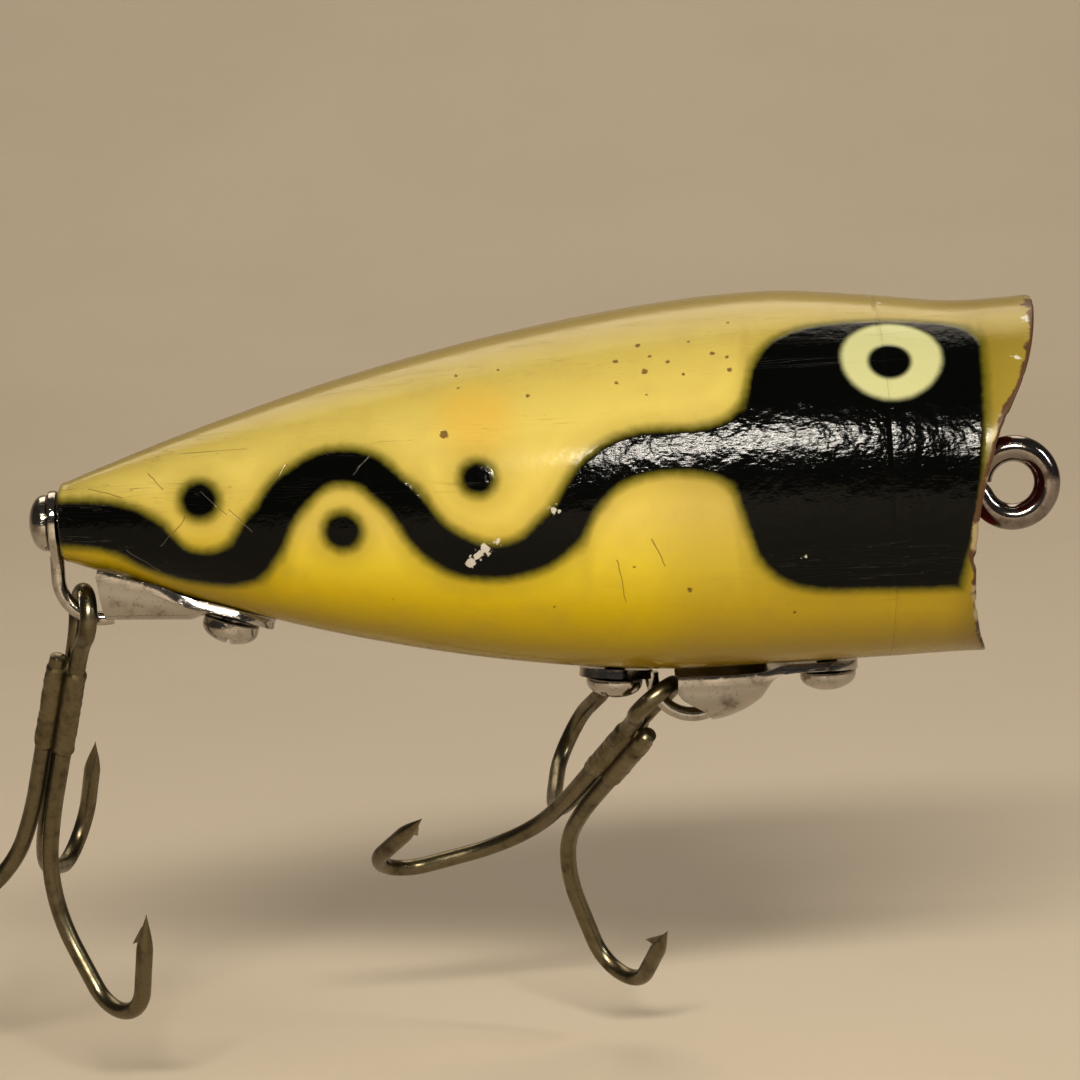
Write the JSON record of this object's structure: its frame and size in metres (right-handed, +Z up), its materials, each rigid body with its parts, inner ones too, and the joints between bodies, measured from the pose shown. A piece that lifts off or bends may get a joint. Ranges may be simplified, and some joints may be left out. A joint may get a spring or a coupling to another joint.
{
  "type": "topwater popper lure",
  "caption": "Topwater popper fishing lure: tapered plastic body with a cupped mouth, a screw-eye line tie, and treble hooks that swing on strap hangers.",
  "frame": {"origin": "centre of the line-tie ring in the mouth", "axes": "+X to the nose along the body's axis, +Z up to the back, +Y to the lure's left"},
  "size_m": [0.0822, 0.0395, 0.0497],
  "materials": {
    "body_yellow": "glossy",
    "head_enamel": "glossy",
    "chrome_wire": "polished",
    "chrome_strap": "polished",
    "chrome_screw": "polished",
    "tinned_wire": "satin",
    "braze_metal": "rough"
  },
  "bodies": {
    "body": {"rear_shell": "body_yellow", "head_plug": "head_enamel", "line_tie_eye": "chrome_wire", "belly_hanger": "chrome_strap", "tail_hanger": "chrome_strap", "belly_screw_front": "chrome_screw", "belly_screw_rear": "chrome_screw", "tail_screw_belly": "chrome_screw", "tail_screw_end": "chrome_screw"},
    "belly_treble": {"belly_treble_double_hook": "tinned_wire", "belly_treble_single_hook": "tinned_wire", "belly_treble_braze": "braze_metal"},
    "tail_treble": {"tail_treble_double_hook": "tinned_wire", "tail_treble_single_hook": "tinned_wire", "tail_treble_braze": "braze_metal"}
  },
  "joints": [
    {"name": "belly_treble_swing", "type": "hinge", "parent": "body", "child": "belly_treble", "pos_m": [-0.02145, 0, -0.0115], "axis": [0, 1, 0], "range_deg": [-45, 5]},
    {"name": "tail_treble_swing", "type": "hinge", "parent": "body", "child": "tail_treble", "pos_m": [-0.05975, 0, -0.003], "axis": [0, 1, 0], "range_deg": [-10, 45]}
  ]
}
